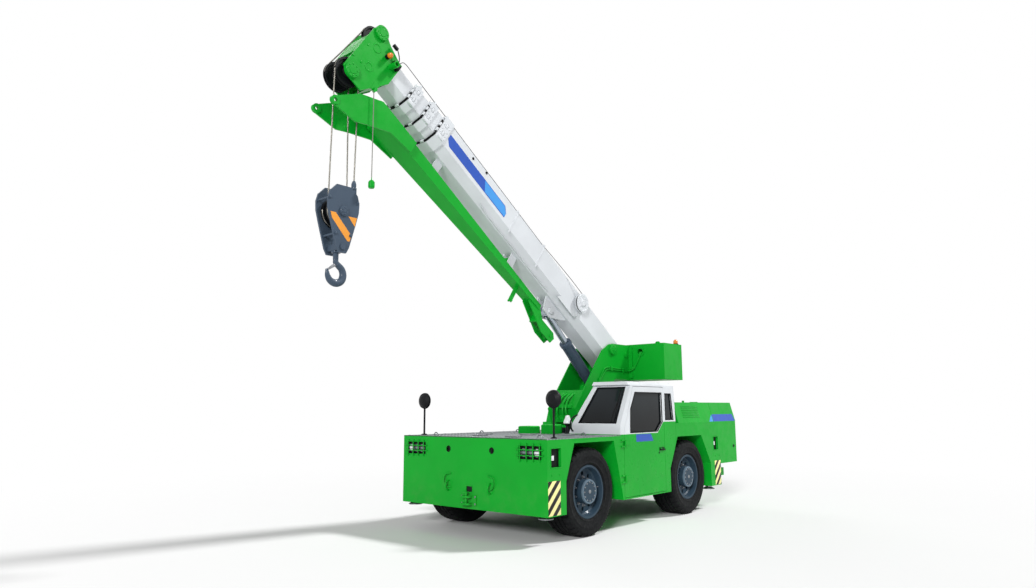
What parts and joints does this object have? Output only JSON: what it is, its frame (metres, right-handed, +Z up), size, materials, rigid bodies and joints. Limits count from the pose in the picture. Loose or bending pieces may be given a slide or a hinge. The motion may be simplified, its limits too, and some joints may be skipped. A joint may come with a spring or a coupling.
{
  "type": "mobile crane",
  "caption": "Four-wheel carry-deck mobile crane with side cab, telescopic boom raised over the front deck, stowed jib and hook block.",
  "frame": {"origin": "on the ground under the middle of the crane's overall box", "axes": "+Z up, -Y towards the front of the vehicle, +X towards its left (cab) side"},
  "size_m": [2.509, 7.3474, 5.983],
  "materials": {
    "black_metal": "satin",
    "chrome": "polished",
    "deck_grey": "satin",
    "fabric": "matte",
    "glass": "polished",
    "green": "gloss",
    "orange": "gloss",
    "plastic": "matte",
    "slate": "satin",
    "steel": "satin",
    "tyre": "matte",
    "white": "gloss"
  },
  "bodies": {
    "chassis": {"main_frame": "black_metal", "front_body": "green", "deck": "deck_grey", "side_tank": "green", "rear_body": "green", "engine": "black_metal", "hood_front": "green", "cab_shell": "green", "cab_glass": "glass", "operator_seat": "fabric", "dashboard": "plastic", "headlamps": "black_metal", "tow_coupling": "green", "rear_hitch": "green", "slew_ring": "black_metal", "mirror_left": "black_metal", "mirror_right": "black_metal", "front_axle": "slate", "rear_axle": "slate"},
    "door": {"cab_door": "green", "door_glass": "glass"},
    "hood": {"engine_hood": "green"},
    "turret": {"turret_frame": "green", "counterweight": "green", "hoist_winch": "steel", "turret_beacon": "orange"},
    "lift_barrel": {"lift_barrel": "slate"},
    "lift_rod": {"lift_rod": "chrome"},
    "boom": {"boom_base": "white", "jib": "green", "cable_reel": "white"},
    "section_2": {"boom_section_2": "white"},
    "section_3": {"boom_section_3": "white"},
    "section_4": {"boom_section_4": "white", "boom_head": "green", "head_sheaves": "green"},
    "falls": {"hoist_rope": "steel"},
    "block": {"hook_block": "slate", "block_sheaves": "slate"},
    "hook": {"hook": "black_metal"},
    "limit_weight": {"stop_weight": "green"},
    "knuckle_front_left": {"knuckle_front_left": "slate"},
    "wheel_front_left": {"tyre_front_left": "tyre", "rim_front_left": "slate"},
    "jack_front_left": {"outrigger_front_left": "slate"},
    "knuckle_front_right": {"knuckle_front_right": "slate"},
    "wheel_front_right": {"tyre_front_right": "tyre", "rim_front_right": "slate"},
    "jack_front_right": {"outrigger_front_right": "slate"},
    "knuckle_rear_left": {"knuckle_rear_left": "slate"},
    "wheel_rear_left": {"tyre_rear_left": "tyre", "rim_rear_left": "slate"},
    "jack_rear_left": {"outrigger_rear_left": "slate"},
    "knuckle_rear_right": {"knuckle_rear_right": "slate"},
    "wheel_rear_right": {"tyre_rear_right": "tyre", "rim_rear_right": "slate"},
    "jack_rear_right": {"outrigger_rear_right": "slate"}
  },
  "joints": [
    {"name": "slew", "type": "hinge", "parent": "chassis", "child": "turret", "pos_m": [0, 0.98, 1.195], "axis": [0, 0, 1], "continuous": true},
    {"name": "luff", "type": "hinge", "parent": "turret", "child": "boom", "pos_m": [0, 1.54, 2.44], "axis": [-1, 0, 0], "range_deg": [-22.5, 35.5]},
    {"name": "lift_barrel_swing", "type": "hinge", "parent": "turret", "child": "lift_barrel", "pos_m": [0, 1.405, 1.83], "axis": [-1, 0, 0], "range_deg": [-18.1, 28.5]},
    {"name": "lift_rod_stroke", "type": "slide", "parent": "lift_barrel", "child": "lift_rod", "axis": [0, -0.7404, 0.6721], "range_m": [-0.1985, 0.312]},
    {"name": "telescope", "type": "slide", "parent": "boom", "child": "section_2", "axis": [0, -0.8241, 0.5664], "range_m": [0, 3.6]},
    {"name": "telescope_3", "type": "slide", "parent": "section_2", "child": "section_3", "axis": [0, -0.8241, 0.5664], "range_m": [0, 3.6]},
    {"name": "telescope_4", "type": "slide", "parent": "section_3", "child": "section_4", "axis": [0, -0.8241, 0.5664], "range_m": [0, 3.6]},
    {"name": "falls_swing", "type": "hinge", "parent": "section_4", "child": "falls", "pos_m": [0, -3.42254, 5.2476], "axis": [-1, 0, 0], "range_deg": [-35.6, 22.6]},
    {"name": "hoist", "type": "slide", "parent": "falls", "child": "block", "axis": [0, 0, -1], "range_m": [0, 2.5], "deforming": ["hoist_rope"]},
    {"name": "hook_swivel", "type": "hinge", "parent": "block", "child": "hook", "pos_m": [0, -3.42254, 2.8376], "axis": [0, 0, 1], "continuous": true},
    {"name": "limit_weight_swing", "type": "hinge", "parent": "section_4", "child": "limit_weight", "pos_m": [0.216, -3.13941, 5.08577], "axis": [-1, 0, 0], "range_deg": [-35.6, 22.6]},
    {"name": "steer_front_left", "type": "hinge", "parent": "chassis", "child": "knuckle_front_left", "pos_m": [0.94, -0.441, 0.536], "axis": [0, 0, 1], "range_deg": [-20, 20]},
    {"name": "roll_front_left", "type": "hinge", "parent": "knuckle_front_left", "child": "wheel_front_left", "pos_m": [0.99, -0.441, 0.536], "axis": [1, 0, 0], "continuous": true},
    {"name": "jack_front_left", "type": "slide", "parent": "chassis", "child": "jack_front_left", "axis": [0, 0, -1], "range_m": [0, 0.285]},
    {"name": "steer_front_right", "type": "hinge", "parent": "chassis", "child": "knuckle_front_right", "pos_m": [-0.94, -0.441, 0.536], "axis": [0, 0, 1], "range_deg": [-20.1, 20.1]},
    {"name": "roll_front_right", "type": "hinge", "parent": "knuckle_front_right", "child": "wheel_front_right", "pos_m": [-0.99, -0.441, 0.536], "axis": [1, 0, 0], "continuous": true},
    {"name": "jack_front_right", "type": "slide", "parent": "chassis", "child": "jack_front_right", "axis": [0, 0, -1], "range_m": [0, 0.285]},
    {"name": "steer_rear_left", "type": "hinge", "parent": "chassis", "child": "knuckle_rear_left", "pos_m": [0.94, 2.101, 0.536], "axis": [0, 0, 1], "range_deg": [-20, 20]},
    {"name": "roll_rear_left", "type": "hinge", "parent": "knuckle_rear_left", "child": "wheel_rear_left", "pos_m": [0.99, 2.101, 0.536], "axis": [1, 0, 0], "continuous": true},
    {"name": "jack_rear_left", "type": "slide", "parent": "chassis", "child": "jack_rear_left", "axis": [0, 0, -1], "range_m": [0, 0.285]},
    {"name": "steer_rear_right", "type": "hinge", "parent": "chassis", "child": "knuckle_rear_right", "pos_m": [-0.94, 2.101, 0.536], "axis": [0, 0, 1], "range_deg": [-20.1, 20.1]},
    {"name": "roll_rear_right", "type": "hinge", "parent": "knuckle_rear_right", "child": "wheel_rear_right", "pos_m": [-0.99, 2.101, 0.536], "axis": [1, 0, 0], "continuous": true},
    {"name": "jack_rear_right", "type": "slide", "parent": "chassis", "child": "jack_rear_right", "axis": [0, 0, -1], "range_m": [0, 0.285]},
    {"name": "door_swing", "type": "hinge", "parent": "chassis", "child": "door", "pos_m": [1.246, 0.279, 1.1], "axis": [0, 0, -1], "range_deg": [0, 75]},
    {"name": "hood_lift", "type": "hinge", "parent": "chassis", "child": "hood", "pos_m": [0, 2.878, 1.631], "axis": [1, 0, 0], "range_deg": [0, 50]}
  ],
  "couplings": [
    {"joint": "lift_barrel_swing", "follows": "luff", "ratio": 0.8},
    {"joint": "lift_rod_stroke", "follows": "luff", "m_per_rad": 0.5},
    {"joint": "telescope_3", "follows": "telescope", "ratio": 1},
    {"joint": "telescope_4", "follows": "telescope", "ratio": 1},
    {"joint": "falls_swing", "follows": "luff", "ratio": -1},
    {"joint": "limit_weight_swing", "follows": "luff", "ratio": -1},
    {"joint": "steer_front_right", "follows": "steer_front_left", "ratio": 1},
    {"joint": "steer_rear_right", "follows": "steer_rear_left", "ratio": 1}
  ]
}
